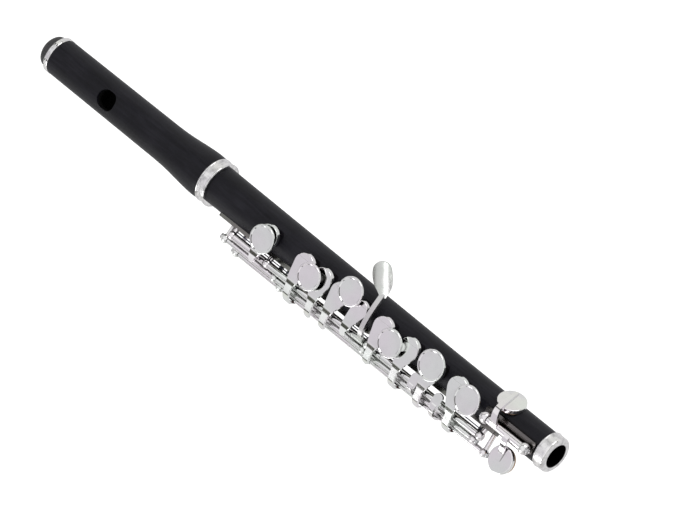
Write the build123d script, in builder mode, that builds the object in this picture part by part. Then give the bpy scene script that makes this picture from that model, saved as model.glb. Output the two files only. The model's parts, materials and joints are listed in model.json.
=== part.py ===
from build123d import *
import os
from math import atan2, cos, degrees, hypot, radians, sin

# A wooden piccolo in two joints (head and body) with silver-plated Boehm keywork.
# Millimetres. X runs along the tube from the crown (negative) to the foot end (x = 0), Z points to
# the embouchure and the finger keys, and the key rods lie on the player's side, -Y.
# The origin is the centre of the bore at the foot end.

os.makedirs("parts", exist_ok=True)

# ---- driving dimensions: tube ----
FOOT_RING_LENGTH = 5.5
FOOT_RING_RADIUS = 8.4
FOOT_BORE_RADIUS = 5.5
FOOT_SPIGOT_LENGTH = 4.5
FOOT_SPIGOT_RADIUS = 6.4
BODY_FOOT_RADIUS = 7.95
BODY_TAPER_START = -66.0
BODY_SHOULDER = -207.6
BODY_SHOULDER_RADIUS = 8.95
BODY_BORE_FOOT = 4.5
BORE_RADIUS = 5.4
TENON_LENGTH = 21.0
TENON_RADIUS = 7.0
CORK_GROOVE_RADIUS = 6.4
CORK_RADIUS = 7.3
SOCKET_BORE_RADIUS = 7.35
SOCKET_LINER_RADIUS = 7.75
SOCKET_RING_LENGTH = 5.2
SOCKET_RING_RADIUS = 10.45
SOCKET_BEAD_RADIUS = 0.45
SOCKET_WOOD_RADIUS = 9.6
SOCKET_LIP = 1.2
BULGE_RADIUS = 10.6
HEAD_RADIUS = 8.6
HEAD_END = -310.4
CROWN_RING_LENGTH = 2.4
CROWN_RING_RADIUS = 8.8
CROWN_SPIGOT_RADIUS = 6.5
CROWN_RADIUS = 7.5
CROWN_TIP = -319.0
EMBOUCHURE_X = -274.4
EMBOUCHURE_LENGTH = 9.8
EMBOUCHURE_WIDTH = 8.7
EMBOUCHURE_CORNER = 3.9
STOPPER_DISTANCE = 8.0
STOPPER_LENGTH = 11.0
STOPPER_PLATE = 0.8
STOPPER_SCREW_RADIUS = 1.9
STOPPER_REACH = 4.6

# ---- driving dimensions: keywork ----
RUNNING = 0.05            # radial clearance of tubes on steels, and of the crown and stopper
ROD_Y = -12.6             # main rod line
ROD_Z = 4.6
INNER_TRILL = (-16.2, 2.2)
OUTER_TRILL = (-18.6, -0.6)
THUMB_ROD = (-8.5, -9.5)
SHARP_ROD = (-3.2, 11.0)  # rod of the D sharp key, on top of the tube
STEEL_RADIUS = 1.0
TUBE_RADIUS = 1.7
TRILL_RADIUS = 1.25
POST_HEAD_RADIUS = 2.1
SHARP_HEAD_RADIUS = 2.7   # the D sharp key's posts have larger heads
POST_HALF_WIDTH = 1.5
PILLAR_RADIUS = 1.1
RIB_WIDTH = 5.6
RIB_TILT = 80.0           # direction of the rod rib, degrees from the top towards -Y
RIB_HEIGHT = 1.05
SEAT_DEPTH = 0.8          # pad seats are milled this far below the tube's crest
SEAT_GAP = 0.10           # a closed pad stays this far above its seat
PAD_THICKNESS = 1.9
CUP_PLATE = 0.9
CUP_WALL = 0.45
CUP_SKIRT = 1.2
ARM_THICKNESS = 1.1
OPEN_ANGLE = 8.0          # how far the open-standing keys stand open, degrees
TOUCH_RISE = 1.9
TOUCH_THICKNESS = 1.2
TOUCH_RIM = 0.75
TOUCH_DISH = 0.3
CUP_RADIUS = 5.2
SMALL_CUP_RADIUS = 4.2
TRILL_CUP_RADIUS = 3.8
SPRING_RADIUS = 0.25
SPRING_DISTANCE = 11.0     # springs lie between the rib and the hinge tubes
THUMB_SPRING_DISTANCE = 10.2

SEAT_MARGIN = 0.5         # the milled seat is this much wider than the pad
TONE_HOLE = 0.62          # tone hole radius as a share of its pad's radius


def body_radius(x):
    """Outer radius of the body's wood: a cone from the shoulder, then a straight foot."""
    share = max(0.0, (BODY_TAPER_START - x) / (BODY_TAPER_START - BODY_SHOULDER))
    return BODY_FOOT_RADIUS + share * (BODY_SHOULDER_RADIUS - BODY_FOOT_RADIUS)


def section(outline):
    """Half section through the tube's axis, as a closed outline of (x, r) points."""
    with BuildSketch(Plane.XZ) as half:
        with BuildLine():
            Polyline(*outline, close=True)
        make_face()
    return half.sketch


def turned(outline):
    """A turned piece on the tube's axis."""
    with BuildPart() as piece:
        add(section(outline))
        revolve(axis=Axis.X)
    return piece


def facing(angle, x=0.0, distance=0.0):
    """Plane that faces outwards from the tube at an angle from the top towards -Y."""
    normal = Vector(0, -sin(radians(angle)), cos(radians(angle)))
    return Plane(origin=Vector(x, 0, 0) + normal * distance, x_dir=(1, 0, 0), z_dir=normal)


def rod_frame(rod, opening=0.0, under=False):
    """Frame of a key on its rod: X along the rod, Y across the tube, Z away from it."""
    if under:
        tilt = radians(opening)
        return Plane(origin=(0, *rod), x_dir=(-1, 0, 0), z_dir=(0, -sin(tilt), -cos(tilt)))
    tilt = radians(opening)
    return Plane(origin=(0, *rod), x_dir=(1, 0, 0), z_dir=(0, -sin(tilt), cos(tilt)))


def side_view(frame, x=0.0):
    """Plane across the rod at x, with the frame's Y to the right and its Z up."""
    return Plane(origin=frame.from_local_coords((x, 0, 0)), x_dir=frame.y_dir, z_dir=frame.x_dir)


def front_view(frame, x, y, z=0.0):
    """Plane along the rod through a point, with the frame's X to the right and its Z up."""
    return Plane(origin=frame.from_local_coords((x, y, z)), x_dir=frame.x_dir, z_dir=-frame.y_dir)


def disc(frame, x, y, z, outline, round_radius):
    """A turned disc standing on the frame at (x, y, z), its outline given as (r, z) points."""
    with BuildPart() as piece:
        with BuildSketch(front_view(frame, x, y, z)) as half:
            with BuildLine():
                Polyline(*outline, close=True)
            make_face()
            fillet(half.vertices().group_by(Axis.X)[-1], round_radius)
        revolve(axis=Axis(frame.from_local_coords((x, y, z)), frame.z_dir))
    return piece.part


def dished_touch(frame, x, y, z, radius):
    """Finger touch: a round plate with a raised rim and a dished middle."""
    inner = radius - TOUCH_RIM
    outline = [(0, 0), (radius, 0), (radius, TOUCH_THICKNESS), (inner, TOUCH_THICKNESS),
               (inner - 0.25, TOUCH_THICKNESS - TOUCH_DISH), (0, TOUCH_THICKNESS - TOUCH_DISH - 0.12)]
    return disc(frame, x, y, z, outline, 0.35)


def cup_shell(frame, x, y, plate, radius):
    """Key cup: a thin plate with a skirt round its pad, the plate's underside at z = plate."""
    outline = [(0, plate), (radius - CUP_WALL, plate), (radius - CUP_WALL, plate - CUP_SKIRT),
               (radius, plate - CUP_SKIRT), (radius, plate + CUP_PLATE - 0.15),
               (radius * 0.6, plate + CUP_PLATE), (0, plate + CUP_PLATE)]
    with BuildPart() as piece:
        with BuildSketch(front_view(frame, x, y)) as half:
            with BuildLine():
                Polyline(*outline, close=True)
            make_face()
            fillet(half.vertices().group_by(Axis.X)[-1].sort_by(Axis.Y)[-1], 0.3)
        revolve(axis=Axis(frame.from_local_coords((x, y, 0)), frame.z_dir))
    return piece.part


def tapered(frame, start, start_radius, end, end_radius, low, high):
    """Upright block whose plan is two circles joined by straight sides."""
    with BuildPart() as block:
        with BuildSketch(frame.offset(low)):
            with Locations(start):
                Circle(start_radius)
            with Locations(end):
                Circle(end_radius)
            make_hull()
        extrude(amount=high - low)
    return block.part


def strap(frame, points, half_width, x, thickness=ARM_THICKNESS):
    """Flat strap bent along a smooth line across the rod, given as (y, z) points."""
    with BuildPart() as band:
        with BuildSketch(side_view(frame, x)):
            with BuildLine():
                Spline(*points)
            trace(line_width=thickness)
        extrude(amount=half_width, both=True)
    return band.part


def plate_height(rod_distance, x):
    """Height of a closed cup's plate above its rod, where the rod is this far above the axis."""
    return body_radius(x) - SEAT_DEPTH + SEAT_GAP + PAD_THICKNESS - rod_distance


def finger_key(tube, root_x, cup_x, cup_radius=CUP_RADIUS, touch=None, tail=None):
    """Open-standing key on the main rod: hinge tube, cup arm, cup, and any raised touch and tail.

    tube is the hinge tube's (start, end), root_x the arm's place on it, touch a raised touch's
    (x, y, radius) with y from the tube's middle plane, and tail the length of the arm's tail.
    """
    frame = rod_frame((ROD_Y, ROD_Z), OPEN_ANGLE)
    across = -ROD_Y
    plate = plate_height(ROD_Z, cup_x)
    middle = plate + CUP_PLATE / 2
    path = [(across + cup_radius * 0.5, middle), (across - cup_radius * 0.7, middle - 0.05),
            (2.8, middle - 0.3), (-0.8, middle - 1.4), (-5.2, 2.0), (-8.3, -1.6), (-9.45, -5.6),
            (-9.5, -9.2)]
    low, high = -10.0, middle + 2.0
    tail_end = (root_x - 1.0, -tail) if tail else (root_x, -1.0)
    with BuildPart() as key:
        add(strap(frame, path, 9.0, (root_x + cup_x) / 2))
        plan = tapered(frame, (cup_x, across), cup_radius - 0.1, (root_x, 0.6), 1.6, low, high)
        plan = plan + tapered(frame, (root_x, 0.6), 1.6, tail_end, 1.5, low, high)
        add(plan, mode=Mode.INTERSECT)
        add(cup_shell(frame, cup_x, across, plate, cup_radius))
        add(tapered(frame, (root_x, 0.6), 1.0, (root_x, -0.6), 1.0, 0.5, middle - 1.3))
        if touch:
            touch_x, touch_y, touch_radius = touch
            touch_y -= ROD_Y
            top = plate + CUP_PLATE
            lean = 0.42
            stem = (cup_x + (touch_x - cup_x) * lean, across + (touch_y - across) * lean)
            add(tapered(frame, stem, 2.2, (touch_x, touch_y), 1.6, top - 0.3, top + TOUCH_RISE + 0.3))
            add(dished_touch(frame, touch_x, touch_y, top + TOUCH_RISE, touch_radius))
        add(hinge_tube(frame, tube))
        add(steel_space(frame, tube), mode=Mode.SUBTRACT)
        add(pad_space(frame, cup_x, across, plate, cup_radius), mode=Mode.SUBTRACT)
    return key


def hinge_tube(frame, tube):
    """Hinge tube along the rod, from tube[0] to tube[1]."""
    start, end = tube
    with BuildPart() as barrel:
        with BuildSketch(side_view(frame, start)):
            Circle(TUBE_RADIUS)
        extrude(amount=end - start)
    return barrel.part


def steel_space(frame, tube):
    """Space of the steel, with its running clearance, inside a hinge tube."""
    start, end = tube
    with BuildPart() as space:
        with BuildSketch(side_view(frame, start)):
            Circle(STEEL_RADIUS + RUNNING)
        extrude(amount=end - start)
    return space.part


def pad_space(frame, x, y, plate, radius):
    """Space of the pad inside a cup."""
    with BuildPart() as space:
        with BuildSketch(frame.offset(plate)):
            with Locations((x, y)):
                Circle(radius - CUP_WALL)
        extrude(amount=-PAD_THICKNESS - 2.0)
    return space.part


def pad_for(frame, x, y, plate, radius):
    """Skin pad filling a cup, its face rounded off at the edge."""
    pad_radius = radius - CUP_WALL
    return disc(frame, x, y, plate - PAD_THICKNESS,
                [(0, 0), (pad_radius, 0), (pad_radius, PAD_THICKNESS), (0, PAD_THICKNESS)], 0.25)


def save(piece, name):
    """Label a finished piece and write it."""
    shape = piece.part if isinstance(piece, BuildPart) else piece
    shape.label = name
    export_step(shape, f"parts/{name}.step")


# ---- key layout along the tube: (tube, root_x, cup_x, cup radius, touch, tail) ----
MAIN_KEYS = {
    "c_key": ((-185.7, -166.9), -171.0, -168.0, CUP_RADIUS, (-167.9, -1.5, 6.5), None),
    "b_flat_key": ((-163.7, -145.5), -148.0, -145.4, CUP_RADIUS, None, 8.2),
    "a_key": ((-145.3, -131.6), -134.6, -134.2, CUP_RADIUS, (-138.9, -1.6, 6.2), 6.2),
    "g_key": ((-131.4, -117.4), -125.5, -123.0, CUP_RADIUS, (-117.1, 5.2, 6.6), 6.2),
    "lower_g_key": ((-117.2, -111.6), -114.3, -110.9, SMALL_CUP_RADIUS, None, None),
    "f_sharp_key": ((-101.0, -93.6), -98.0, -96.6, CUP_RADIUS, None, 5.6),
    "f_key": ((-93.4, -79.2), -82.6, -80.7, CUP_RADIUS, (-88.7, -2.2, 6.5), 8.4),
    "e_key": ((-79.0, -60.2), -67.4, -65.6, CUP_RADIUS, (-65.6, 1.9, 7.0), 7.4),
    "d_key": ((-60.0, -35.0), -49.3, -50.9, CUP_RADIUS, (-42.5, -0.3, 6.8), 8.0),
}
FELT_TOP = -6.6                      # the felts' upper ends, from the rod
FELT_HEIGHT = 2.2
FELT_FACES = (-8.9, -7.3)            # the felts' outer and inner faces, from the rod
FELTED_KEYS = {"b_flat_key": "b_flat_key_felt", "f_key": "f_key_felt", "d_key": "d_key_felt"}

SHARP_CUP = (-28.8, -58.0, 6.5)      # D sharp cup, on the far side: x, angle, radius
G_SHARP_CUP = (-108.2, 133.0, 4.6)
INNER_CUP = (-179.0, 122.0, TRILL_CUP_RADIUS)
OUTER_CUP = (-170.6, 122.0, TRILL_CUP_RADIUS)
THUMB_CUP = (-155.0, 180.0, 5.0)
SHARP_HOLE_RADIUS = 3.0

main_frame = rod_frame((ROD_Y, ROD_Z), OPEN_ANGLE)
thumb_frame = rod_frame(THUMB_ROD, OPEN_ANGLE, under=True)
thumb_plate = body_radius(THUMB_CUP[0]) - SEAT_DEPTH + SEAT_GAP + PAD_THICKNESS + THUMB_ROD[1]

# ---- body tube ----
spigot_end = -FOOT_RING_LENGTH - FOOT_SPIGOT_LENGTH
tenon_start = BODY_SHOULDER - TENON_LENGTH
groove = (tenon_start + 4.0, BODY_SHOULDER - 4.0)
body_outline = [
    (tenon_start, BORE_RADIUS), (spigot_end, BODY_BORE_FOOT), (spigot_end, FOOT_SPIGOT_RADIUS),
    (-FOOT_RING_LENGTH, FOOT_SPIGOT_RADIUS), (-FOOT_RING_LENGTH, BODY_FOOT_RADIUS),
    (BODY_TAPER_START, BODY_FOOT_RADIUS), (BODY_SHOULDER, BODY_SHOULDER_RADIUS),
    (BODY_SHOULDER, TENON_RADIUS), (groove[1], TENON_RADIUS), (groove[1], CORK_GROOVE_RADIUS),
    (groove[0], CORK_GROOVE_RADIUS), (groove[0], TENON_RADIUS), (tenon_start, TENON_RADIUS),
]
body_blank = turned(body_outline).part
solid_blank = turned([(tenon_start, 0), (-FOOT_RING_LENGTH, 0), (-FOOT_RING_LENGTH, BODY_FOOT_RADIUS),
                      (BODY_TAPER_START, BODY_FOOT_RADIUS), (BODY_SHOULDER, BODY_SHOULDER_RADIUS),
                      (tenon_start, BODY_SHOULDER_RADIUS)]).part


def seat_radius(cup_radius):
    """Radius of the pad in a cup."""
    return cup_radius - CUP_WALL


cups = [(spec[2], 0.0, spec[3]) for spec in MAIN_KEYS.values()]
cups += [G_SHARP_CUP, INNER_CUP, OUTER_CUP, THUMB_CUP]
tone_holes = [(x, angle, seat_radius(radius), seat_radius(radius) * TONE_HOLE) for x, angle, radius in cups]
tone_holes += [(SHARP_CUP[0], SHARP_CUP[1], seat_radius(SHARP_CUP[2]), SHARP_HOLE_RADIUS)]

with BuildPart() as body_tube:
    add(body_blank)
    for x, angle, pad_radius, hole_radius in tone_holes:
        with BuildSketch(facing(angle, x, body_radius(x) - SEAT_DEPTH)):
            Circle(pad_radius + SEAT_MARGIN)
        extrude(amount=SEAT_DEPTH + 1.0, mode=Mode.SUBTRACT)
        with BuildSketch(facing(angle, x)):
            Circle(hole_radius)
        extrude(amount=body_radius(x) + 1.0, mode=Mode.SUBTRACT)
save(body_tube, "body_tube")

tenon_cork = turned([(groove[0], CORK_GROOVE_RADIUS), (groove[1], CORK_GROOVE_RADIUS),
                     (groove[1], CORK_RADIUS - 0.2), (groove[1] - 1.0, CORK_RADIUS),
                     (groove[0] + 1.0, CORK_RADIUS), (groove[0], CORK_RADIUS - 0.2)])
save(tenon_cork, "tenon_cork")

# ---- foot ring: a short sleeve with a rounded lip and a beaded back edge ----
with BuildPart() as foot_ring:
    with BuildSketch(Plane.XZ) as ring_half:
        with BuildLine():
            Polyline((spigot_end, FOOT_BORE_RADIUS), (0, FOOT_BORE_RADIUS),
                     (0, FOOT_RING_RADIUS), (-FOOT_RING_LENGTH, FOOT_RING_RADIUS),
                     (-FOOT_RING_LENGTH, FOOT_SPIGOT_RADIUS), (spigot_end, FOOT_SPIGOT_RADIUS),
                     close=True)
        make_face()
        fillet(ring_half.vertices().group_by(Axis.X)[-1].sort_by(Axis.Y)[-1], 1.1)
        with Locations((-FOOT_RING_LENGTH + 0.5, FOOT_RING_RADIUS - 0.15)):
            Circle(0.42)
    revolve(axis=Axis.X)
save(foot_ring, "foot_ring")

# ---- head joint ----
socket_end = BODY_SHOULDER - 0.1
ring_start = socket_end - SOCKET_RING_LENGTH
liner_end = tenon_start - 0.6
liner_space = SOCKET_LINER_RADIUS + RUNNING
bulge_start = ring_start - 22.5

with BuildPart() as head_tube:
    with BuildSketch(Plane.XZ):
        with BuildLine():
            Line((HEAD_END, HEAD_RADIUS), (bulge_start - 18.0, HEAD_RADIUS + 0.25))
            Spline((bulge_start - 18.0, HEAD_RADIUS + 0.25), (bulge_start, HEAD_RADIUS + 0.55),
                   (bulge_start + 9.0, HEAD_RADIUS + 1.35), (bulge_start + 15.5, BULGE_RADIUS - 0.1),
                   (bulge_start + 19.0, BULGE_RADIUS), (ring_start, SOCKET_RING_RADIUS - 0.1),
                   tangents=((1, 0.014), (1, -0.10)))
            Polyline((ring_start, SOCKET_RING_RADIUS - 0.1), (ring_start, SOCKET_WOOD_RADIUS),
                     (socket_end - SOCKET_LIP, SOCKET_WOOD_RADIUS),
                     (socket_end - SOCKET_LIP, liner_space), (liner_end, liner_space),
                     (liner_end, BORE_RADIUS), (HEAD_END - CROWN_RING_LENGTH, BORE_RADIUS),
                     (HEAD_END - CROWN_RING_LENGTH, CROWN_SPIGOT_RADIUS),
                     (HEAD_END, CROWN_SPIGOT_RADIUS), (HEAD_END, HEAD_RADIUS))
        make_face()
    revolve(axis=Axis.X)
    with BuildSketch(Plane.XY):
        with Locations((EMBOUCHURE_X, 0)):
            RectangleRounded(EMBOUCHURE_LENGTH, EMBOUCHURE_WIDTH, EMBOUCHURE_CORNER)
    extrude(amount=HEAD_RADIUS + 2.0, mode=Mode.SUBTRACT)
save(head_tube, "head_tube")

with BuildPart() as socket_ring:
    with BuildSketch(Plane.XZ) as ring_half:
        with BuildLine():
            Polyline((ring_start, SOCKET_WOOD_RADIUS), (socket_end - SOCKET_LIP, SOCKET_WOOD_RADIUS),
                     (socket_end - SOCKET_LIP, liner_space), (socket_end, liner_space),
                     (socket_end, SOCKET_RING_RADIUS), (ring_start, SOCKET_RING_RADIUS), close=True)
        make_face()
        with Locations((ring_start + 0.5, SOCKET_RING_RADIUS - 0.1),
                       (socket_end - 0.5, SOCKET_RING_RADIUS - 0.1)):
            Circle(SOCKET_BEAD_RADIUS)
    revolve(axis=Axis.X)
save(socket_ring, "socket_ring")

liner_start = liner_end + RUNNING
socket_liner = turned([(liner_start, SOCKET_BORE_RADIUS), (socket_end, SOCKET_BORE_RADIUS),
                       (socket_end, SOCKET_LINER_RADIUS), (liner_start, SOCKET_LINER_RADIUS)])
save(socket_liner, "socket_liner")

crown_ring_end = HEAD_END - CROWN_RING_LENGTH
with BuildPart() as crown_ring:
    with BuildSketch(Plane.XZ) as ring_half:
        with BuildLine():
            Polyline((crown_ring_end, CROWN_SPIGOT_RADIUS), (HEAD_END, CROWN_SPIGOT_RADIUS),
                     (HEAD_END, CROWN_RING_RADIUS), (crown_ring_end, CROWN_RING_RADIUS), close=True)
        make_face()
        fillet(ring_half.vertices().group_by(Axis.Y)[-1], 0.4)
    revolve(axis=Axis.X)
save(crown_ring, "crown_ring")

# ---- crown and stopper: turning the crown draws the stopper along the bore ----
crown_base = crown_ring_end - 0.1
screw_end = CROWN_TIP + 2.9
with BuildPart() as crown:
    with BuildSketch(Plane.XZ):
        with BuildLine():
            Polyline((CROWN_TIP, 0), (crown_base + STOPPER_REACH, 0),
                     (crown_base + STOPPER_REACH, BORE_RADIUS - 2 * RUNNING),
                     (crown_base, BORE_RADIUS - 2 * RUNNING), (crown_base, CROWN_RADIUS),
                     (crown_base - 1.6, CROWN_RADIUS))
            Spline((crown_base - 1.6, CROWN_RADIUS), (CROWN_TIP + 2.0, CROWN_RADIUS - 1.2),
                   (CROWN_TIP + 0.5, CROWN_RADIUS - 3.6), (CROWN_TIP, 0),
                   tangents=((-1, 0), (0, -1)))
        make_face()
    revolve(axis=Axis.X)
    with BuildSketch(Plane.YZ.offset(screw_end - 1.4)):
        Circle(STOPPER_SCREW_RADIUS + RUNNING)
    extrude(amount=30, mode=Mode.SUBTRACT)
save(crown, "crown")

stopper_face = EMBOUCHURE_X - STOPPER_DISTANCE
cork_start = stopper_face - STOPPER_PLATE - STOPPER_LENGTH
stopper_fit = BORE_RADIUS - RUNNING
stopper_screw = turned([(screw_end, 0), (stopper_face, 0), (stopper_face, stopper_fit),
                        (stopper_face - STOPPER_PLATE, stopper_fit),
                        (stopper_face - STOPPER_PLATE, STOPPER_SCREW_RADIUS),
                        (screw_end, STOPPER_SCREW_RADIUS)])
save(stopper_screw, "stopper_screw")
stopper_cork = turned([(cork_start, STOPPER_SCREW_RADIUS), (stopper_face - STOPPER_PLATE,
                       STOPPER_SCREW_RADIUS), (stopper_face - STOPPER_PLATE, stopper_fit),
                       (cork_start, stopper_fit)])
save(stopper_cork, "stopper_cork")
stopper_nut = turned([(cork_start - 1.4, STOPPER_SCREW_RADIUS), (cork_start, STOPPER_SCREW_RADIUS),
                      (cork_start, stopper_fit - 0.4), (cork_start - 1.4, stopper_fit - 0.4)])
save(stopper_nut, "stopper_nut")

# ---- ribs: straps soldered along the tube that carry the posts ----


def rib(start, end, angle, width, height, flat_radius):
    """Strap along the tube, flat outside and hollowed to the wood underneath."""
    with BuildPart() as strip:
        with BuildSketch(facing(angle, (start + end) / 2, flat_radius - 1.2)):
            RectangleRounded(end - start, width, 1.2)
        extrude(amount=height + 1.2)
        add(solid_blank, mode=Mode.SUBTRACT)
    return strip


LEFT_RIB = (-199.0, -107.6)
RIGHT_RIB = (-106.8, -28.6)
THUMB_RIB = (-165.6, -131.2)
SHARP_RIB = (-35.6, -6.2)
THUMB_RELIEF = 0.2
left_rib = rib(*LEFT_RIB, RIB_TILT, RIB_WIDTH, RIB_HEIGHT, body_radius(LEFT_RIB[0]))
right_rib = rib(*RIGHT_RIB, RIB_TILT, RIB_WIDTH, RIB_HEIGHT, body_radius(RIGHT_RIB[0]))
thumb_tilt = degrees(atan2(-THUMB_ROD[0], THUMB_ROD[1]))
sharp_tilt = degrees(atan2(-SHARP_ROD[0], SHARP_ROD[1]))
with BuildPart() as thumb_rib:
    add(rib(*THUMB_RIB, thumb_tilt, 4.0, 0.8, body_radius(THUMB_RIB[0])).part)
    # relief in the rib's edge, round the thumb B pad
    with BuildSketch(facing(THUMB_CUP[1], THUMB_CUP[0], 0)):
        Circle(THUMB_CUP[2] + THUMB_RELIEF)
    extrude(amount=2 * body_radius(THUMB_CUP[0]), mode=Mode.SUBTRACT)
sharp_rib = rib(*SHARP_RIB, sharp_tilt - 6.0, 5.8, 0.8, BODY_FOOT_RADIUS)
save(left_rib, "left_hand_rib")
save(right_rib, "right_hand_rib")
save(thumb_rib, "thumb_rib")
save(sharp_rib, "d_sharp_rib")


def post(x, rod, bore, strap_part, head=POST_HEAD_RADIUS):
    """Post with a ball head bored for a steel or screw, standing on its strap."""
    angle = degrees(atan2(-rod[0], rod[1]))
    distance = hypot(*rod)
    with BuildPart() as pillar:
        with BuildSketch(facing(angle, x, body_radius(x) + 0.2)):
            Circle(PILLAR_RADIUS)
        extrude(amount=distance - bore - 0.2 - body_radius(x) - 0.2)
        with BuildSketch(Plane(origin=(x, *rod), x_dir=(1, 0, 0), z_dir=(0, -1, 0))):
            Circle(head)
            Rectangle(2 * POST_HALF_WIDTH, 3 * head, mode=Mode.INTERSECT)
            with Locations((0, bore - 10.0)):
                Rectangle(20.0, 20.0, mode=Mode.SUBTRACT)
        revolve(axis=Axis((x, *rod), (1, 0, 0)))
        add(strap_part, mode=Mode.SUBTRACT)
    return pillar.part


def post_group(places, rod, bore, strap_part, head=POST_HEAD_RADIUS):
    """Posts of one line, as separate solids."""
    with BuildPart() as group:
        for x in places:
            add(post(x, rod, bore, strap_part, head))
    return group


MAIN_ROD = (ROD_Y, ROD_Z)
LEFT_POSTS = (-187.4, -165.3)
RIGHT_POSTS = (-102.6, -33.4)
save(post_group(LEFT_POSTS, MAIN_ROD, STEEL_RADIUS, left_rib.part), "left_hand_posts")
save(post_group(RIGHT_POSTS, MAIN_ROD, STEEL_RADIUS, right_rib.part), "right_hand_posts")

INNER_ENDS = (-190.9, -36.6)
OUTER_ENDS = (-184.2, -30.4)
INNER_MIDDLE = (-160.0, -104.6)
OUTER_MIDDLE = (-156.8, -101.2)
trill_hole = TRILL_RADIUS + RUNNING
SCREW_RADIUS = 0.75
both_ribs = left_rib.part + right_rib.part
with BuildPart() as trill_posts:
    for rod, ends, middles in ((INNER_TRILL, INNER_ENDS, INNER_MIDDLE),
                               (OUTER_TRILL, OUTER_ENDS, OUTER_MIDDLE)):
        for x in ends:
            add(post(x, rod, SCREW_RADIUS, both_ribs))
        for x in middles:
            add(post(x, rod, trill_hole, both_ribs))
save(trill_posts, "trill_posts")

THUMB_POSTS = (-163.4, -133.6)
SHARP_POSTS = (-32.3, -8.9)
save(post_group(THUMB_POSTS, THUMB_ROD, STEEL_RADIUS, thumb_rib.part), "thumb_posts")
save(post_group(SHARP_POSTS, SHARP_ROD, SCREW_RADIUS, sharp_rib.part, SHARP_HEAD_RADIUS), "d_sharp_posts")

# ---- steels: the rods that the hinge tubes turn on ----


def steel(start, end, rod):
    """Plain round steel."""
    with BuildPart() as bar:
        with BuildSketch(Plane.YZ.offset(start)):
            with Locations(rod):
                Circle(STEEL_RADIUS)
        extrude(amount=end - start)
    return bar


save(steel(LEFT_POSTS[0] - POST_HALF_WIDTH, -103.2, MAIN_ROD), "left_hand_steel")
save(steel(-103.0, RIGHT_POSTS[1] + POST_HALF_WIDTH, MAIN_ROD), "right_hand_steel")
save(steel(THUMB_POSTS[0] - POST_HALF_WIDTH, THUMB_POSTS[1] + POST_HALF_WIDTH, THUMB_ROD), "thumb_steel")

# ---- pivot screws: slotted heads outside the posts, plain points inside the rod ends ----
SCREW_POINT = 2.2
SCREW_HEAD = 0.9


def pivot_screw(x, rod, inwards):
    """Pivot screw through a post, its point reaching along +X or -X into a rod end."""
    with BuildPart() as screw:
        with BuildSketch(Plane.YZ.offset(x)):
            with Locations(rod):
                Circle(SCREW_RADIUS)
        extrude(amount=inwards * (POST_HALF_WIDTH + SCREW_POINT))
        with BuildSketch(Plane.YZ.offset(x)):
            with Locations(rod):
                Circle(SCREW_RADIUS)
        extrude(amount=-inwards * POST_HALF_WIDTH)
        with BuildSketch(Plane.YZ.offset(x - inwards * POST_HALF_WIDTH)):
            with Locations(rod):
                Circle(1.25)
        extrude(amount=-inwards * SCREW_HEAD)
        with BuildSketch(Plane.YZ.offset(x - inwards * (POST_HALF_WIDTH + SCREW_HEAD))):
            with Locations(rod):
                Rectangle(3.0, 0.35)
        extrude(amount=inwards * 0.4, mode=Mode.SUBTRACT)
    return screw.part


with BuildPart() as pivot_screws:
    for ends, rod in ((INNER_ENDS, INNER_TRILL), (OUTER_ENDS, OUTER_TRILL), (SHARP_POSTS, SHARP_ROD)):
        add(pivot_screw(ends[0], rod, 1))
        add(pivot_screw(ends[1], rod, -1))
save(pivot_screws, "pivot_screws")

# ---- needle springs, each from a post along the tube: (post, direction, length, rod, distance) ----
SPRINGS = [
    (LEFT_POSTS[0], 1, 10.0, MAIN_ROD, SPRING_DISTANCE),
    (LEFT_POSTS[1], -1, 8.0, MAIN_ROD, SPRING_DISTANCE),
    (LEFT_POSTS[1], 1, 13.0, MAIN_ROD, SPRING_DISTANCE),
    (RIGHT_POSTS[0], -1, 13.0, MAIN_ROD, SPRING_DISTANCE),
    (RIGHT_POSTS[0], 1, 13.0, MAIN_ROD, SPRING_DISTANCE),
    (RIGHT_POSTS[1], -1, 13.0, MAIN_ROD, SPRING_DISTANCE),
    (THUMB_POSTS[0], 1, 10.0, THUMB_ROD, THUMB_SPRING_DISTANCE),
    (THUMB_POSTS[1], -1, 7.0, THUMB_ROD, THUMB_SPRING_DISTANCE),
]
with BuildPart() as needle_springs:
    for x, direction, length, rod, distance in SPRINGS:
        share = distance / hypot(*rod)
        with BuildSketch(Plane.YZ.offset(x + direction * (PILLAR_RADIUS + 0.02))):
            with Locations((rod[0] * share, rod[1] * share)):
                Circle(SPRING_RADIUS)
        extrude(amount=direction * length)
save(needle_springs, "needle_springs")

# ---- finger keys on the main rod, with their pads and tail felts ----
for name, (tube, root_x, cup_x, cup_radius, touch, tail) in MAIN_KEYS.items():
    save(finger_key(tube, root_x, cup_x, cup_radius, touch, tail), name)
    height = plate_height(ROD_Z, cup_x)
    save(pad_for(main_frame, cup_x, -ROD_Y, height, cup_radius), name.replace("_key", "_pad"))

for name, felt_name in FELTED_KEYS.items():
    with BuildPart() as felt:
        with BuildSketch(main_frame.offset(FELT_TOP)):
            with Locations((MAIN_KEYS[name][1] - 0.4, sum(FELT_FACES) / 2)):
                RectangleRounded(3.2, FELT_FACES[1] - FELT_FACES[0], 0.4)
        extrude(amount=-FELT_HEIGHT)
    save(felt, felt_name)

# ---- keys whose cups face sideways: an arm from the rod to a cup on a slanted seat ----


def slanted_cup(x, angle, radius):
    """Cup shell closed on a slanted seat, and its pad."""
    frame = facing(angle)
    plate = body_radius(x) - SEAT_DEPTH + SEAT_GAP + PAD_THICKNESS
    return cup_shell(frame, x, 0.0, plate, radius), pad_for(frame, x, 0.0, plate, radius), frame, plate


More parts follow.
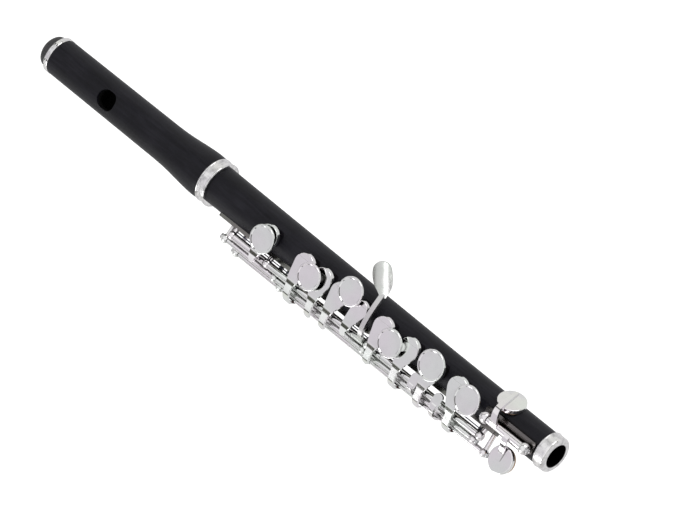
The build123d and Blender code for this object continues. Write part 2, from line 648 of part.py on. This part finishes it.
def cup_top(x, angle, across=0.0, above=0.0):
    """(y, z) on a slanted cup's plate: across from its middle towards +Y, above its mid-plane."""
    distance = body_radius(x) - SEAT_DEPTH + SEAT_GAP + PAD_THICKNESS + CUP_PLATE / 2 + above
    turn = radians(angle)
    return across * cos(turn) - distance * sin(turn), across * sin(turn) + distance * cos(turn)


def local(point, rod):
    """(y, z) measured from a rod."""
    return point[0] - rod[0], point[1] - rod[1]


flat_main = rod_frame(MAIN_ROD)

# G sharp key: the lever crosses over the tube to its leaf and the cup hangs on the rod's far side
G_SHARP_TUBE = (-111.4, -104.2)
LEVER_X = -105.5
LEAF_BASE = (11.0, 10.6)
LEAF_HOLLOW = 9.0         # radius of the leaf's hollow across its length
LEAF_THICKNESS = 0.9
cup_part, g_sharp_pad, cup_frame, cup_plate = slanted_cup(*G_SHARP_CUP)
cup_middle = local(cup_top(*G_SHARP_CUP[:2]), MAIN_ROD)
# spoon-shaped leaf, rising outwards, swung towards the head and hollowed along its length
leaf_plane = Plane(origin=(LEVER_X, *LEAF_BASE), x_dir=(-0.32, 0.86, 0.40), z_dir=(0.30, -0.30, 0.905))
with BuildPart() as leaf_shell:
    with BuildSketch(leaf_plane):
        with BuildLine():
            Spline((-1.6, -1.3), (4.0, -4.3), (10.5, -4.6), (14.8, 0.0), tangents=((1, -0.5), (0, 1)))
            Spline((14.8, 0.0), (10.5, 4.4), (4.0, 3.7), (-1.6, 1.3), tangents=((0, 1), (-1, -0.4)))
            Line((-1.6, 1.3), (-1.6, -1.3))
        make_face()
    extrude(amount=5.0, both=True)
    hollow_axis = Plane(origin=leaf_plane.from_local_coords((0, 0, LEAF_HOLLOW)), z_dir=leaf_plane.x_dir)
    with BuildSketch(hollow_axis):
        Circle(LEAF_HOLLOW)
        Circle(LEAF_HOLLOW - LEAF_THICKNESS, mode=Mode.SUBTRACT)
    extrude(amount=40.0, both=True, mode=Mode.INTERSECT)
leaf = leaf_shell.part.solids().sort_by(Axis.Z)[0]
with BuildPart() as g_sharp_key:
    add(strap(flat_main, [(0.0, 1.6), (3.0, 4.9), (7.0, 6.6), (12.6, 7.1), (19.0, 6.6),
                          local(LEAF_BASE, MAIN_ROD)], 1.15, LEVER_X, 1.5))
    add(strap(flat_main, [(-0.2, -1.3), (-1.3, -4.6), (-0.4, -7.8),
                          (cup_middle[0] - 1.6, cup_middle[1] + 1.6)], 1.3,
              (G_SHARP_TUBE[0] + G_SHARP_TUBE[1]) / 2))
    add(cup_part)
    add(hinge_tube(flat_main, G_SHARP_TUBE))
    add(steel_space(flat_main, G_SHARP_TUBE), mode=Mode.SUBTRACT)
    add(pad_space(cup_frame, G_SHARP_CUP[0], 0.0, cup_plate, G_SHARP_CUP[2]), mode=Mode.SUBTRACT)
    add(leaf)
save(g_sharp_key, "g_sharp_key")
save(g_sharp_pad, "g_sharp_pad")

# ---- trill keys: long rods between pivot screws, each with a cup and a touch ----


def trill_key(ends, rod, cup, arm_path, touch_x, touch_path):
    """Long solid rod with a cup near the top of the body and a touch near the right hand."""
    frame = rod_frame(rod)
    shell, pad, facing_frame, plate = slanted_cup(*cup)
    start = ends[0] + POST_HALF_WIDTH + 0.2
    end = ends[1] - POST_HALF_WIDTH - 0.2
    with BuildPart() as key:
        with BuildSketch(side_view(frame, start)):
            Circle(TRILL_RADIUS)
        extrude(amount=end - start)
        add(strap(frame, arm_path, 1.2, cup[0]))
        add(shell)
        add(strap(frame, touch_path, 1.3, touch_x))
        for tip, direction in ((start, 1), (end, -1)):
            with BuildSketch(side_view(frame, tip)):
                Circle(SCREW_RADIUS + RUNNING)
            extrude(amount=direction * (SCREW_POINT + 0.2), mode=Mode.SUBTRACT)
        add(pad_space(facing_frame, cup[0], 0.0, plate, cup[2]), mode=Mode.SUBTRACT)
        touch_y, touch_z = touch_path[-1]
        with BuildSketch(frame.offset(touch_z - 0.55)):
            with Locations((touch_x, touch_y + 1.6)):
                RectangleRounded(4.6, 7.2, 2.0)
        extrude(amount=1.1)
    return key, pad


inner_middle = local(cup_top(*INNER_CUP[:2]), INNER_TRILL)
outer_middle = local(cup_top(*OUTER_CUP[:2]), OUTER_TRILL)
TRILL_TOUCH_Z = 9.0
d_trill_key, d_trill_pad = trill_key(
    INNER_ENDS, INNER_TRILL, INNER_CUP,
    [(0.0, -1.0), (0.6, -4.0), (inner_middle[0] - 1.4, inner_middle[1] + 0.9), inner_middle],
    -71.8, [(0.0, 1.0), (-0.2, 3.6), (0.8, 6.0), (3.8, TRILL_TOUCH_Z - INNER_TRILL[1])])
d_sharp_trill_key, d_sharp_trill_pad = trill_key(
    OUTER_ENDS, OUTER_TRILL, OUTER_CUP,
    [(0.8, -0.9), (3.2, -3.6), (outer_middle[0] - 1.5, outer_middle[1] + 0.3), outer_middle],
    -57.4, [(-0.2, 1.0), (-0.6, 4.6), (0.9, 8.2), (5.6, TRILL_TOUCH_Z - OUTER_TRILL[1])])
save(d_trill_key, "d_trill_key")
save(d_trill_pad, "d_trill_pad")
save(d_sharp_trill_key, "d_sharp_trill_key")
save(d_sharp_trill_pad, "d_sharp_trill_pad")

# ---- D sharp key: see-saw on top of the tube, its cup on the far side, its touch beside the rods ----
sharp_frame = rod_frame(SHARP_ROD)
cup_part, d_sharp_pad, cup_frame, cup_plate = slanted_cup(*SHARP_CUP)
cup_arm = [local(cup_top(*SHARP_CUP[:2], across, 0.75), SHARP_ROD) for across in (-5.5, 0.0, 5.0)]
sharp_start = SHARP_POSTS[0] + POST_HALF_WIDTH + 0.2
sharp_end = SHARP_POSTS[1] - POST_HALF_WIDTH - 0.2
SHARP_TOUCH = (-16.9, -10.7)         # middle of the touch, from the rod
SHARP_TOUCH_RADIUS = 6.2
SHARP_TOUCH_HEIGHTS = (-5.5, -4.0, -1.9)   # underside of the cork, underside and top of the touch
cork_radius = SHARP_TOUCH_RADIUS - 0.5
cork_low, touch_low, touch_high = SHARP_TOUCH_HEIGHTS
touch_outline = [(0, 0), (SHARP_TOUCH_RADIUS, 0), (SHARP_TOUCH_RADIUS, touch_high - touch_low),
                 (0, touch_high - touch_low)]
cork_outline = [(0, 0), (cork_radius, 0), (cork_radius, touch_low - cork_low), (0, touch_low - cork_low)]
with BuildPart() as d_sharp_key:
    add(strap(sharp_frame, [(0.0, 1.5), (3.6, 2.6), (6.9, 1.8)] + cup_arm, 9.0, -29.0))
    add(tapered(sharp_frame, (-26.4, 0.3), 1.8, (-30.6, 14.2), 0.8, -14.0, 5.0), mode=Mode.INTERSECT)
    with BuildSketch(side_view(sharp_frame, sharp_start)):
        Circle(TUBE_RADIUS)
    extrude(amount=sharp_end - sharp_start)
    add(cup_part)
    add(strap(sharp_frame, [(0.2, 1.4), (-2.6, 1.5), (-5.2, -0.2), (-8.4, -1.6), (-11.5, -2.0)], 1.4, -18.0))
    add(disc(sharp_frame, *SHARP_TOUCH, touch_low, touch_outline, 0.6))
    for tip, direction in ((sharp_start, 1), (sharp_end, -1)):
        with BuildSketch(side_view(sharp_frame, tip)):
            Circle(SCREW_RADIUS + RUNNING)
        extrude(amount=direction * (SCREW_POINT + 0.2), mode=Mode.SUBTRACT)
    add(pad_space(cup_frame, SHARP_CUP[0], 0.0, cup_plate, SHARP_CUP[2]), mode=Mode.SUBTRACT)
save(d_sharp_key, "d_sharp_key")
save(d_sharp_pad, "d_sharp_pad")
save(disc(sharp_frame, *SHARP_TOUCH, cork_low, cork_outline, 0.2), "d_sharp_cork")

# ---- thumb keys under the tube (the frame's X runs towards the head there) ----
across = -THUMB_ROD[0]
THUMB_TUBE = (146.6, 161.7)
LEVER_TUBE = (135.3, 146.4)
with BuildPart() as thumb_key:
    add(strap(thumb_frame, [(0, 1.2), (3.5, thumb_plate + 0.7), (across, thumb_plate + 0.45)], 2.2,
              -THUMB_CUP[0]))
    add(cup_shell(thumb_frame, -THUMB_CUP[0], across, thumb_plate, THUMB_CUP[2]))
    add(tapered(thumb_frame, (-THUMB_CUP[0] - 4.0, across), 2.0, (149.4, across + 1.5), 3.6,
                thumb_plate + 0.3, thumb_plate + 1.5))
    add(hinge_tube(thumb_frame, THUMB_TUBE))
    add(steel_space(thumb_frame, THUMB_TUBE), mode=Mode.SUBTRACT)
    add(pad_space(thumb_frame, -THUMB_CUP[0], across, thumb_plate, THUMB_CUP[2]), mode=Mode.SUBTRACT)
save(thumb_key, "thumb_b_key")
save(pad_for(thumb_frame, -THUMB_CUP[0], across, thumb_plate, THUMB_CUP[2]), "thumb_b_pad")

with BuildPart() as thumb_lever:
    add(strap(thumb_frame, [(0, 1.2), (2.6, 2.3), (5.0, 2.7), (7.5, 2.6)], 1.6, 140.4))
    add(tapered(thumb_frame, (140.4, 6.2), 3.0, (140.7, 9.2), 3.2, 2.1, 3.2))
    add(hinge_tube(thumb_frame, LEVER_TUBE))
    add(steel_space(thumb_frame, LEVER_TUBE), mode=Mode.SUBTRACT)
save(thumb_lever, "thumb_b_flat_lever")
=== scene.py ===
import json
import math

import bpy
from mathutils import Matrix, Vector


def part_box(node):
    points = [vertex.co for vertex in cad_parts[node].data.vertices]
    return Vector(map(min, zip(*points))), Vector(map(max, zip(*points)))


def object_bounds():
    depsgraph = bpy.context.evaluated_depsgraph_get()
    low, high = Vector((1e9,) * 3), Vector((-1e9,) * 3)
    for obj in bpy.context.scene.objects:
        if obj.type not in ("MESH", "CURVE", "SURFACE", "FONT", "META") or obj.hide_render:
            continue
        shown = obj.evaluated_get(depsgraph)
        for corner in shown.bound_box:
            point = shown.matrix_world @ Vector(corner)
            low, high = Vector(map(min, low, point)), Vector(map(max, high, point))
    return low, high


# Looks of a wooden piccolo with silver-plated keywork, in metres, in the CAD frame:
# +X runs from the crown to the foot end, +Z to the finger keys, and the key rods lie at -Y.

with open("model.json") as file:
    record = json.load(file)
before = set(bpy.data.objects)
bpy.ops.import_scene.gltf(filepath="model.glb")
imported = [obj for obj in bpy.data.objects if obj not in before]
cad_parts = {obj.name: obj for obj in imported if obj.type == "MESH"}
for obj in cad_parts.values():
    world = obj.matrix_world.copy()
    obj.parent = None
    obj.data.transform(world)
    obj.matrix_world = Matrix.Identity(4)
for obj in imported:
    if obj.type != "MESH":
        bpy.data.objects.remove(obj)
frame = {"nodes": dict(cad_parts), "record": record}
cad_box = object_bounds()
nodes = frame["nodes"]
record = frame["record"]
scene = bpy.context.scene

# ---- studio ----
CAMERA_DIRECTION = Vector((0.485, 0.226, 0.845)).normalized()   # from the object to the camera
TUBE_SLOPE = math.radians(38.8)      # how far the tube runs down to the right in the picture
CAMERA_DISTANCE = 4.0
FIELD_WIDTH = 0.2979                 # width that the picture spans at the object
SENSOR = 36.0
AIM = Vector((-0.1371, 0.0104, -0.0037))
FLOOR_DROP = 0.30                    # the floor lies this far under the instrument
FLOOR_HALF = 1.1
TABLE_GLOW = (0.25, 0.78)            # the floor is a light table: its glow on the silver and in the picture
TENT_WHITE = 1.05                    # the tent's strength straight behind the instrument in the picture
LAMP_DISTANCE = 1.6
LAMP_SIZE = 0.8
LAMP_POWER = 6
# the tent's wall by the height of its direction: dark gap, white, dark band and white again
WALL_STOPS = [(0.0, (0.74, 0.74, 0.70)), (0.02, (0.02, 0.02, 0.015)), (0.08, (0.03, 0.03, 0.024)),
              (0.11, 0.80), (0.38, 0.92), (0.40, (0.06, 0.06, 0.05)), (0.54, (0.10, 0.10, 0.085)),
              (0.57, 0.75), (0.72, 0.85), (1.0, 0.90)]
# grey and white cards in the tent: direction, angles between which the card fades out, colour
CARDS = [((-0.485, -0.36, 0.80), (15, 24), (0.66, 0.645, 0.67, 1)),
         ((-0.485, 0.86, -0.17), (26, 34), (0.76, 0.765, 0.73, 1))]

# ---- finishes ----
RIPPLE = 0.000004                    # depth of the silver plate's slow ripple
GAP_SHADE_REACH = 0.003                # painted shade: silver this close to its neighbours is darkened, as shade in the gaps between parts
# near-black colour of that painted shade in the gaps
GAP_SHADE = (0.035, 0.034, 0.028, 1)
BORE_WALL = 0.0003                   # depth over which the painted shade in a bore fades out
WOOD_BORE = 0.0074                   # painted shade: the wood is near black and matt inside this radius, as shade in the bore
# colour of the painted shade in the wood's bore
BORE_SHADE = (0.0008, 0.0007, 0.0007, 1)
RING_BORES = {"foot_ring": 0.0056, "socket_ring": 0.0081, "crown_ring": 0.0067}
# painted shade: near-black colour inside each ring's bore
RING_BORE_SHADE = (0.004, 0.004, 0.004, 1)
RING_EDGE = 0.0009                   # width of a ring's polished edges
# ribs under the rods, which get the dark painted-shade copy of the silver
RIBS = ("left_hand_rib", "right_hand_rib", "thumb_rib", "d_sharp_rib")


def look_along(location, direction, right):
    """World matrix of a camera or lamp that looks along -direction with its X along right."""
    z = direction.normalized()
    x = (right - right.dot(z) * z).normalized()
    y = z.cross(x)
    turn = Matrix((x, y, z)).transposed().to_4x4()
    return Matrix.Translation(location) @ turn


def add_camera():
    """Long lens from above the foot end, the tube running down to the right."""
    along = (Vector((1, 0, 0)) - CAMERA_DIRECTION.x * CAMERA_DIRECTION).normalized()
    across = CAMERA_DIRECTION.cross(along)
    right = math.cos(TUBE_SLOPE) * along + math.sin(TUBE_SLOPE) * across
    data = bpy.data.cameras.new("camera")
    data.sensor_width = SENSOR
    data.lens = SENSOR * CAMERA_DISTANCE / FIELD_WIDTH
    camera = bpy.data.objects.new("camera", data)
    camera.matrix_world = look_along(AIM + CAMERA_DIRECTION * CAMERA_DISTANCE, CAMERA_DIRECTION, right)
    scene.collection.objects.link(camera)
    scene.camera = camera


def add_floor():
    """Plain pale floor, lit evenly from below, that glows less on the silver than in the picture."""
    low = cad_box[0].z - FLOOR_DROP
    mesh = bpy.data.meshes.new("floor")
    corners = [(x * FLOOR_HALF, y * FLOOR_HALF, low) for x, y in ((-1, -1), (1, -1), (1, 1), (-1, 1))]
    mesh.from_pydata(corners, [], [(0, 1, 2, 3)])
    floor = bpy.data.objects.new("floor", mesh)
    scene.collection.objects.link(floor)
    material, shader, links = new_material("light_table")
    shader.inputs["Base Color"].default_value = (0.5, 0.5, 0.5, 1)
    shader.inputs["Roughness"].default_value = 0.9
    shader.inputs["Specular IOR Level"].default_value = 0.0
    shader.inputs["Emission Color"].default_value = (1, 1, 1, 1)
    path = material.node_tree.nodes.new("ShaderNodeLightPath")
    glow = mix_of(material.node_tree, "FLOAT", path.outputs["Is Camera Ray"], *TABLE_GLOW)
    links.new(glow, shader.inputs["Emission Strength"])
    mesh.materials.append(material)


def add_lamp(name, direction):
    """Square soft box that faces the instrument from the side."""
    data = bpy.data.lights.new(name, "AREA")
    data.shape = "SQUARE"
    data.size = LAMP_SIZE
    data.energy = LAMP_POWER
    lamp = bpy.data.objects.new(name, data)
    toward = Vector(direction).normalized()
    side = toward.cross(Vector((0, 0, 1)))
    lamp.matrix_world = look_along(AIM + toward * LAMP_DISTANCE, toward, side)
    scene.collection.objects.link(lamp)


def add_world():
    """White light tent with a dark gap round the horizon, a grey scrim overhead and a white card."""
    world = bpy.data.worlds.new("tent")
    scene.world = world
    world.use_nodes = True
    tree = world.node_tree
    tree.nodes.clear()
    output = tree.nodes.new("ShaderNodeOutputWorld")
    coords = tree.nodes.new("ShaderNodeTexCoord")
    split = tree.nodes.new("ShaderNodeSeparateXYZ")
    tree.links.new(coords.outputs["Generated"], split.inputs[0])
    wall = ramp_of(tree, split.outputs["Z"], WALL_STOPS)
    for direction, (inner, outer), colour in CARDS:
        toward = tree.nodes.new("ShaderNodeVectorMath")
        toward.operation = "DOT_PRODUCT"
        tree.links.new(coords.outputs["Generated"], toward.inputs[0])
        toward.inputs[1].default_value = Vector(direction).normalized()
        reach = tree.nodes.new("ShaderNodeMapRange")
        reach.interpolation_type = "SMOOTHSTEP"
        tree.links.new(toward.outputs["Value"], reach.inputs["Value"])
        reach.inputs["From Min"].default_value = math.cos(math.radians(outer))
        reach.inputs["From Max"].default_value = math.cos(math.radians(inner))
        wall = mix_of(tree, "RGBA", reach.outputs["Result"], wall, colour)
    seen = tree.nodes.new("ShaderNodeBackground")
    seen.inputs["Color"].default_value = (1, 1, 1, 1)
    seen.inputs["Strength"].default_value = TENT_WHITE
    lit = tree.nodes.new("ShaderNodeBackground")
    tree.links.new(wall, lit.inputs["Color"])
    path = tree.nodes.new("ShaderNodeLightPath")
    mix = tree.nodes.new("ShaderNodeMixShader")
    tree.links.new(path.outputs["Is Camera Ray"], mix.inputs["Fac"])
    tree.links.new(lit.outputs[0], mix.inputs[1])
    tree.links.new(seen.outputs[0], mix.inputs[2])
    tree.links.new(mix.outputs[0], output.inputs["Surface"])


# ---- material helpers ----
def new_material(name):
    """Material with a Principled shader; returns the material, the shader and its links."""
    material = bpy.data.materials.new(name)
    material.use_nodes = True
    tree = material.node_tree
    return material, tree.nodes["Principled BSDF"], tree.links


def object_coords(tree, stretch=(1, 1, 1)):
    """Place on the piece in metres, stretched by a factor along each axis."""
    coords = tree.nodes.new("ShaderNodeTexCoord")
    mapping = tree.nodes.new("ShaderNodeMapping")
    mapping.inputs["Scale"].default_value = stretch
    tree.links.new(coords.outputs["Object"], mapping.inputs["Vector"])
    return mapping.outputs["Vector"]


def noise(tree, vector, scale, detail=4.0, roughness=0.55, distortion=0.0):
    """Noise texture's value."""
    node = tree.nodes.new("ShaderNodeTexNoise")
    node.inputs["Scale"].default_value = scale
    node.inputs["Detail"].default_value = detail
    node.inputs["Roughness"].default_value = roughness
    node.inputs["Distortion"].default_value = distortion
    tree.links.new(vector, node.inputs["Vector"])
    return node.outputs["Fac"]


def ramp_of(tree, value, stops):
    """Colour ramp over a value; stops are (place, grey or colour)."""
    node = tree.nodes.new("ShaderNodeValToRGB")
    elements = node.color_ramp.elements
    while len(elements) < len(stops):
        elements.new(0.5)
    for element, (place, colour) in zip(elements, stops):
        element.position = place
        element.color = (colour,) * 3 + (1,) if isinstance(colour, float) else (*colour, 1)
    tree.links.new(value, node.inputs["Fac"])
    return node.outputs["Color"]


def math_node(tree, operation, first, second):
    """Math node on sockets or numbers."""
    node = tree.nodes.new("ShaderNodeMath")
    node.operation = operation
    for socket, value in zip(node.inputs, (first, second)):
        if isinstance(value, (int, float)):
            socket.default_value = value
        else:
            tree.links.new(value, socket)
    return node.outputs[0]


def mix_of(tree, kind, factor, first, second):
    """Mix of two values or sockets of one kind, FLOAT or RGBA."""
    node = tree.nodes.new("ShaderNodeMix")
    node.data_type = kind
    sockets = [socket for socket in node.inputs if socket.enabled]
    tree.links.new(factor, sockets[0])
    for socket, value in zip(sockets[-2:], (first, second)):
        if isinstance(value, (int, float, tuple)):
            socket.default_value = value
        else:
            tree.links.new(value, socket)
    return [socket for socket in node.outputs if socket.enabled][0]


def outside_bore(tree, bore_radius):
    """0 inside this radius from the tube's axis and 1 outside, with a soft step."""
    place = tree.nodes.new("ShaderNodeSeparateXYZ")
    coords = tree.nodes.new("ShaderNodeTexCoord")
    tree.links.new(coords.outputs["Object"], place.inputs[0])
    square = math_node(tree, "ADD", math_node(tree, "MULTIPLY", place.outputs["Y"], place.outputs["Y"]),
                       math_node(tree, "MULTIPLY", place.outputs["Z"], place.outputs["Z"]))
    radius = math_node(tree, "SQRT", square, 0)
    step = tree.nodes.new("ShaderNodeMapRange")
    tree.links.new(radius, step.inputs["Value"])
    step.inputs["From Min"].default_value = bore_radius
    step.inputs["From Max"].default_value = bore_radius + BORE_WALL
    return step.outputs["Result"]


def add_bump(tree, shader, heights, distance):
    """Bump from the sum of (height, weight) pairs; distance is the depth in metres."""
    total = None
    for height, weight in heights:
        part = math_node(tree, "MULTIPLY", height, weight)
        total = part if total is None else math_node(tree, "ADD", total, part)
    bump = tree.nodes.new("ShaderNodeBump")
    bump.inputs["Distance"].default_value = distance
    bump.inputs["Strength"].default_value = 1.0
    tree.links.new(total, bump.inputs["Height"])
    tree.links.new(bump.outputs["Normal"], shader.inputs["Normal"])


# ---- materials ----
def blackwood(name):
    """Oiled grenadilla: near black, with fine pores and darker streaks along the tube, and painted shade in
    the bore.
    """
    material, shader, links = new_material(name)
    tree = material.node_tree
    along = object_coords(tree, (0.08, 1, 1))
    streaks = noise(tree, along, 900, 6, 0.6, 0.4)
    pores = noise(tree, object_coords(tree, (0.05, 1, 1)), 4200, 3, 0.7)
    clouds = noise(tree, object_coords(tree), 60, 3)
    slow_part = math_node(tree, "MULTIPLY", clouds, 0.4)
    tint = math_node(tree, "ADD", math_node(tree, "MULTIPLY", streaks, 0.6), slow_part)
    colour = ramp_of(tree, tint, [(0.32, (0.0024, 0.0023, 0.0040)), (0.5, (0.0064, 0.0061, 0.0100)),
                                  (0.68, (0.0150, 0.0145, 0.0210))])
    gloss = ramp_of(tree, tint, [(0.3, 0.36), (0.7, 0.52)])
    # painted shade: inside the bore the wood is near black and matt
    unshaded_wood = outside_bore(tree, WOOD_BORE)
    links.new(mix_of(tree, "RGBA", unshaded_wood, BORE_SHADE, colour), shader.inputs["Base Color"])
    links.new(mix_of(tree, "FLOAT", unshaded_wood, 0.95, gloss), shader.inputs["Roughness"])
    shader.inputs["Specular IOR Level"].default_value = 0.21
    add_bump(tree, shader, [(pores, 0.6), (streaks, 0.4)], 0.00003)
    return material


def silver(name, rough=(0.05, 0.12), colour=(0.93, 0.925, 0.925)):
    """Polished silver plate with faint hairlines, smears, a slow ripple and painted shade in its corners and
    gaps.
    """
    material, shader, links = new_material(name)
    tree = material.node_tree
    place = object_coords(tree)
    smears = noise(tree, place, 160, 5, 0.6)
    hairs = noise(tree, object_coords(tree, (1, 0.15, 1)), 5200, 2, 0.5)
    cast = noise(tree, place, 45, 2, 0.5)
    violet = (colour[0], colour[1] * 0.965, colour[2])
    green = (colour[0] * 0.97, colour[1], colour[2] * 0.98)
    tone = ramp_of(tree, cast, [(0.42, violet), (0.58, green)])
    smeared = mix_of(tree, "RGBA", ramp_of(tree, smears, [(0.3, 0.30), (0.55, 0.0)]), tone,
                     tuple(c * 0.8 for c in colour) + (1,))
    # painted shade: where neighbouring parts stand close, the silver's colour is darkened to near black
    gap_shade = tree.nodes.new("ShaderNodeAmbientOcclusion")
    gap_shade.samples = 8
    gap_shade.inputs["Distance"].default_value = GAP_SHADE_REACH
    unshaded_part = ramp_of(tree, gap_shade.outputs["AO"], [(0.30, 0.0), (0.72, 1.0)])
    links.new(mix_of(tree, "RGBA", unshaded_part, GAP_SHADE, smeared), shader.inputs["Base Color"])
    shader.inputs["Metallic"].default_value = 1.0
    gloss = ramp_of(tree, smears, [(0.35, rough[0]), (0.7, rough[1])])
    links.new(gloss, shader.inputs["Roughness"])
    slow = noise(tree, place, 420, 2, 0.5)
    add_bump(tree, shader, [(slow, 1.0), (hairs, 0.12)], RIPPLE)
    return material


def frosted_silver(node, bore_radius):
    """Satin ring with polished edges and painted shade in its bore."""
    low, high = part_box(node)
    material, shader, links = new_material("frosted_" + node)
    tree = material.node_tree
    coords = tree.nodes.new("ShaderNodeTexCoord")
    split = tree.nodes.new("ShaderNodeSeparateXYZ")
    links.new(coords.outputs["Object"], split.inputs[0])
    middle = (low.x + high.x) / 2
    half = (high.x - low.x) / 2
    offset = math_node(tree, "ABSOLUTE", math_node(tree, "SUBTRACT", split.outputs["X"], middle), 0)
    edge = math_node(tree, "GREATER_THAN", offset, half - RING_EDGE)
    grain = noise(tree, object_coords(tree), 5200, 3, 0.6)
    worn = noise(tree, object_coords(tree), 420, 4, 0.6)
    matt = ramp_of(tree, grain, [(0.3, 0.24), (0.7, 0.40)])
    # painted shade: inside its bore the ring is near black and matt
    unshaded_ring = outside_bore(tree, bore_radius)
    rough = mix_of(tree, "FLOAT", unshaded_ring, 0.95, mix_of(tree, "FLOAT", edge, matt, 0.07))
    links.new(rough, shader.inputs["Roughness"])
    tone = ramp_of(tree, worn, [(0.35, (0.60, 0.59, 0.60)), (0.5, (0.86, 0.85, 0.86)),
                                (0.62, (0.95, 0.94, 0.94))])
    links.new(mix_of(tree, "RGBA", unshaded_ring, RING_BORE_SHADE, tone), shader.inputs["Base Color"])
    shader.inputs["Metallic"].default_value = 1.0
    depth = math_node(tree, "SUBTRACT", 1.0, edge)
    add_bump(tree, shader, [(math_node(tree, "MULTIPLY", grain, depth), 1.0)], 0.00003)
    return material


def grainy(name, dark, light, scale, rough, depth, metallic=0.0, stretch=(1, 1, 1), sheen=0.0):
    """Plain speckled stuff: cork, felt, skin, drawn steel, the crown's rough wood."""
    material, shader, links = new_material(name)
    tree = material.node_tree
    grain = noise(tree, object_coords(tree, stretch), scale, 6, 0.65)
    links.new(ramp_of(tree, grain, [(0.3, dark), (0.7, light)]), shader.inputs["Base Color"])
    links.new(ramp_of(tree, grain, [(0.3, rough[0]), (0.7, rough[1])]), shader.inputs["Roughness"])
    shader.inputs["Metallic"].default_value = metallic
    shader.inputs["Sheen Weight"].default_value = sheen
    add_bump(tree, shader, [(grain, 1.0)], depth)
    return material


# ---- dressing of the CAD nodes ----
def dress():
    """Give every CAD node its material."""
    finishes = {
        "blackwood": blackwood("blackwood"),
        "silver": silver("silver"),
        "steel": grainy("drawn_steel", (0.55, 0.55, 0.56), (0.74, 0.74, 0.75), 2600, (0.14, 0.26),
                        0.000004, 1.0, (0.1, 1, 1)),
        "spring_steel": grainy("blued_steel", (0.05, 0.06, 0.10), (0.12, 0.14, 0.22), 2600, (0.2, 0.34),
                               0.000004, 1.0, (0.1, 1, 1)),
        "nickel": silver("nickel", (0.10, 0.22), (0.78, 0.76, 0.72)),
        "cork": grainy("cork", (0.34, 0.19, 0.09), (0.72, 0.50, 0.30), 1500, (0.75, 0.92), 0.00012),
        "pad_skin": grainy("pad_skin", (0.36, 0.20, 0.10), (0.62, 0.42, 0.25), 900, (0.45, 0.65), 0.00004),
        "felt": grainy("felt", (0.16, 0.022, 0.016), (0.42, 0.085, 0.06), 3200, (0.85, 0.98), 0.00012,
                       sheen=0.6),
    }
    special = {
        "crown": grainy("crown_wood", (0.010, 0.010, 0.011), (0.055, 0.055, 0.058), 1600, (0.38, 0.58),
                        0.00008),
        "g_sharp_key": silver("satin_silver", (0.22, 0.32), (0.74, 0.745, 0.73)),
    }
    # painted shade: a dark copy of the silver for the ribs under the rods, standing for the shade there
    rib_shade = silver("painted_shade_silver", (0.16, 0.30), (0.20, 0.195, 0.185))
    for rib in RIBS:
        special[rib] = rib_shade
    for ring, bore_radius in RING_BORES.items():
        special[ring] = frosted_silver(ring, bore_radius)
    for row in record["subparts"]:
        node, slot_name = row["node"], row["material_slot"]
        mesh = nodes[node].data
        mesh.materials.clear()
        mesh.materials.append(special.get(node, finishes[slot_name]))


add_camera()
add_floor()
add_world()
add_lamp("near_box", (-0.2, -1.0, 0.45))
add_lamp("far_box", (0.2, 1.0, 0.40))
dress()
scene.view_settings.view_transform = "Standard"
